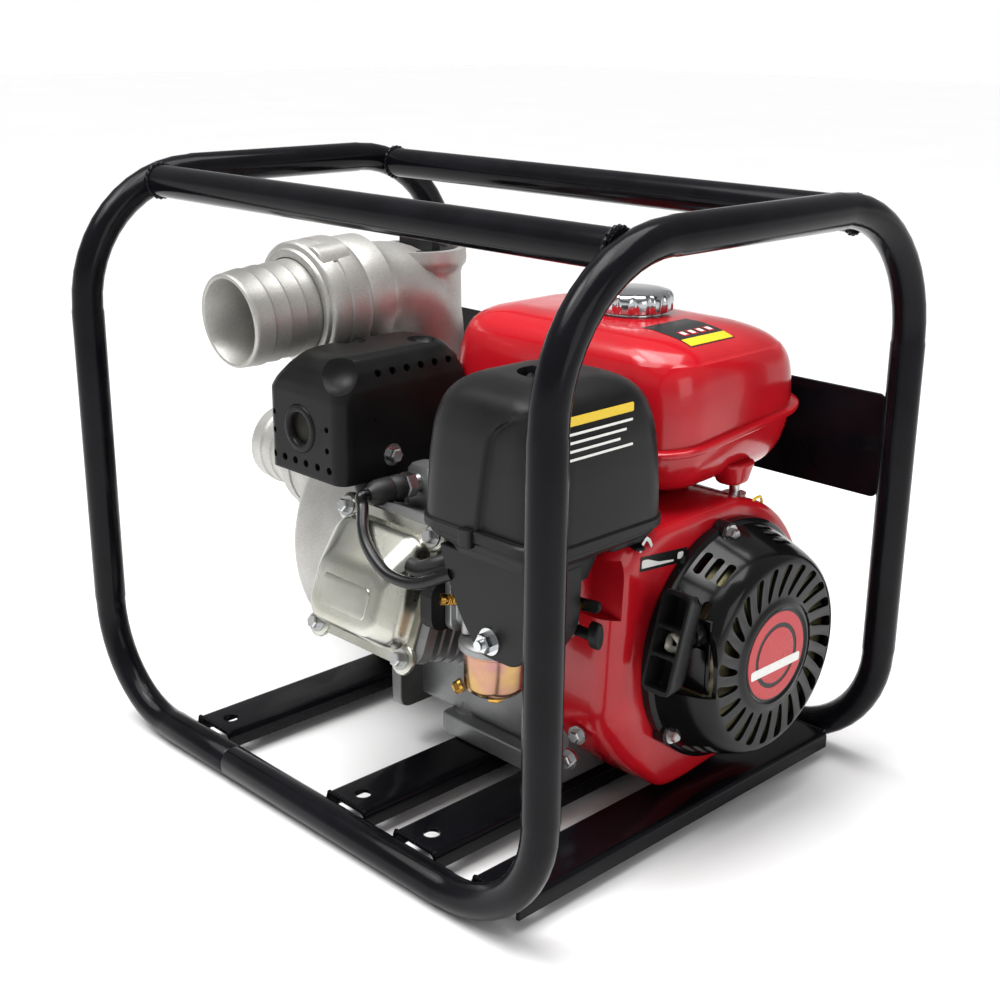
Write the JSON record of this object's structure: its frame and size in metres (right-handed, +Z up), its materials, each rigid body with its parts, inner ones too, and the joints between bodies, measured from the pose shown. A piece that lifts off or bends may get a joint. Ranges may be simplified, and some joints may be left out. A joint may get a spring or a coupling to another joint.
{
  "type": "trash pump",
  "caption": "Petrol-engine trash pump in a black tube frame: red and black single-cylinder engine with recoil starter driving a cast aluminium pump with hose barbs.",
  "frame": {"origin": "centre of the bounding box's footprint, at the underside of the bottom tubes", "axes": "+X along the crankshaft towards the recoil starter, +Y from the cylinder head towards the rear plate, +Z up"},
  "size_m": [0.6086, 0.4, 0.4555],
  "materials": {
    "frame_paint": "gloss black powder coat over steel tube and sheet",
    "cast_aluminium": "sand- and die-cast aluminium, bead blasted",
    "machined_steel": "turned and ground steel",
    "red_paint": "glossy red baked enamel on pressed steel",
    "black_plastic": "moulded black nylon and polypropylene",
    "black_enamel": "satin black heat-proof enamel on pressed steel",
    "zinc_steel": "pressed steel with bright zinc plate",
    "chrome": "polished chrome plate on pressed steel",
    "rubber": "black rubber",
    "foam": "open-cell foam, dark grey",
    "cast_iron": "grey cast iron",
    "rope_white": "braided nylon starter cord",
    "ceramic": "glazed spark plug ceramic with plated shell",
    "passivated_zinc": "yellow passivated zinc plate on pressed steel"
  },
  "bodies": {
    "root": {"frame_tube_left": "frame_paint", "frame_tube_right": "frame_paint", "top_rail_front": "frame_paint", "top_rail_rear": "frame_paint", "base_channel_1": "frame_paint", "base_channel_2": "frame_paint", "base_channel_3": "frame_paint", "base_channel_4": "frame_paint", "rear_plate": "frame_paint", "pump_casing": "cast_aluminium", "pump_back_plate": "cast_aluminium", "volute_insert": "cast_iron", "mechanical_seal": "rubber", "inlet_flange": "cast_aluminium", "inlet_hose_barb": "cast_aluminium", "outlet_elbow": "cast_aluminium", "outlet_hose_barb": "cast_aluminium", "crankcase": "cast_aluminium", "crankcase_cover": "cast_aluminium", "cylinder_head": "cast_aluminium", "valve_cover": "zinc_steel", "piston": "cast_aluminium", "connecting_rod": "cast_aluminium", "main_bearing_pto": "machined_steel", "main_bearing_flywheel": "machined_steel", "oil_dipstick": "black_plastic", "spark_plug": "ceramic", "spark_plug_cap": "rubber", "ignition_lead": "rubber", "breather_hose": "rubber", "muffler_body": "black_enamel", "muffler_shield": "black_enamel", "carb_insulator": "black_plastic", "carburetor_body": "cast_aluminium", "float_bowl": "passivated_zinc", "air_cleaner_base": "black_plastic", "air_filter_element": "foam", "air_cleaner_cover": "black_plastic", "fan_cover": "red_paint", "recoil_housing": "black_plastic", "fuel_tank": "red_paint", "tank_bracket": "black_enamel"},
    "crank": {"crankshaft": "machined_steel", "flywheel": "cast_aluminium", "starter_cup": "machined_steel", "impeller": "cast_iron", "rod_big_end": "cast_aluminium"},
    "cam": {"camshaft": "machined_steel"},
    "reel": {"recoil_reel": "black_plastic"},
    "handle": {"recoil_grip": "black_plastic", "starter_rope": "rope_white"},
    "inlet_union": {"inlet_nut": "cast_aluminium"},
    "outlet_union": {"outlet_nut": "cast_aluminium"},
    "flap": {"inlet_check_flap": "rubber"},
    "plug": {"priming_plug": "black_plastic"},
    "choke": {"choke_lever": "black_enamel"},
    "fuel_cock": {"fuel_cock_lever": "black_plastic"},
    "throttle": {"throttle_lever": "black_enamel"},
    "cap": {"fuel_cap": "chrome"},
    "cleaner_knob": {"air_cleaner_knob": "black_plastic"}
  },
  "joints": [
    {"name": "crank_spin", "type": "hinge", "parent": "root", "child": "crank", "pos_m": [0.07375, 0.0615, 0.1305], "axis": [1, 0, 0], "continuous": true},
    {"name": "cam_spin", "type": "hinge", "parent": "root", "child": "cam", "pos_m": [0.07375, 0.0175, 0.0865], "axis": [1, 0, 0], "continuous": true},
    {"name": "starter_pull", "type": "slide", "parent": "root", "child": "handle", "axis": [0, -1, 0], "range_m": [0, 0.4], "stiffness_N_per_m": 20, "springref_m": -0.05},
    {"name": "reel_turn", "type": "hinge", "parent": "root", "child": "reel", "pos_m": [0.26275, 0.0615, 0.1305], "axis": [1, 0, 0], "range_deg": [-5, 760]},
    {"name": "inlet_nut_turn", "type": "hinge", "parent": "root", "child": "inlet_union", "pos_m": [-0.22225, 0.0615, 0.1665], "axis": [1, 0, 0], "range_deg": [0, 350]},
    {"name": "outlet_nut_turn", "type": "hinge", "parent": "root", "child": "outlet_union", "pos_m": [-0.09825, -0.0497, 0.34622], "axis": [0, 0.9976, 0.0698], "range_deg": [0, 350]},
    {"name": "check_flap_swing", "type": "hinge", "parent": "root", "child": "flap", "pos_m": [-0.12625, 0.0615, 0.2025], "axis": [0, -1, 0], "range_deg": [0, 22]},
    {"name": "priming_plug_turn", "type": "hinge", "parent": "root", "child": "plug", "pos_m": [-0.09825, 0.0615, 0.3645], "axis": [0, 0, 1], "range_deg": [0, 340]},
    {"name": "choke_swing", "type": "hinge", "parent": "root", "child": "choke", "pos_m": [0.18775, -0.0895, 0.1935], "axis": [0, -1, 0], "range_deg": [0, 14]},
    {"name": "fuel_cock_turn", "type": "hinge", "parent": "root", "child": "fuel_cock", "pos_m": [0.23175, -0.0865, 0.1755], "axis": [1, 0, 0], "range_deg": [0, 90]},
    {"name": "throttle_swing", "type": "hinge", "parent": "root", "child": "throttle", "pos_m": [0.19375, -0.0225, 0.2265], "axis": [0, 0, 1], "range_deg": [0, 40]},
    {"name": "fuel_cap_turn", "type": "hinge", "parent": "root", "child": "cap", "pos_m": [0.11675, 0.0955, 0.3555], "axis": [0, 0, 1], "range_deg": [0, 90]},
    {"name": "cleaner_knob_turn", "type": "hinge", "parent": "root", "child": "cleaner_knob", "pos_m": [0.18525, -0.0795, 0.3435], "axis": [0, 0, 1], "range_deg": [0, 350]}
  ],
  "couplings": [
    {"joint": "cam_spin", "follows": "crank_spin", "ratio": -0.5},
    {"joint": "reel_turn", "follows": "starter_pull", "rad_per_m": 32.8}
  ]
}
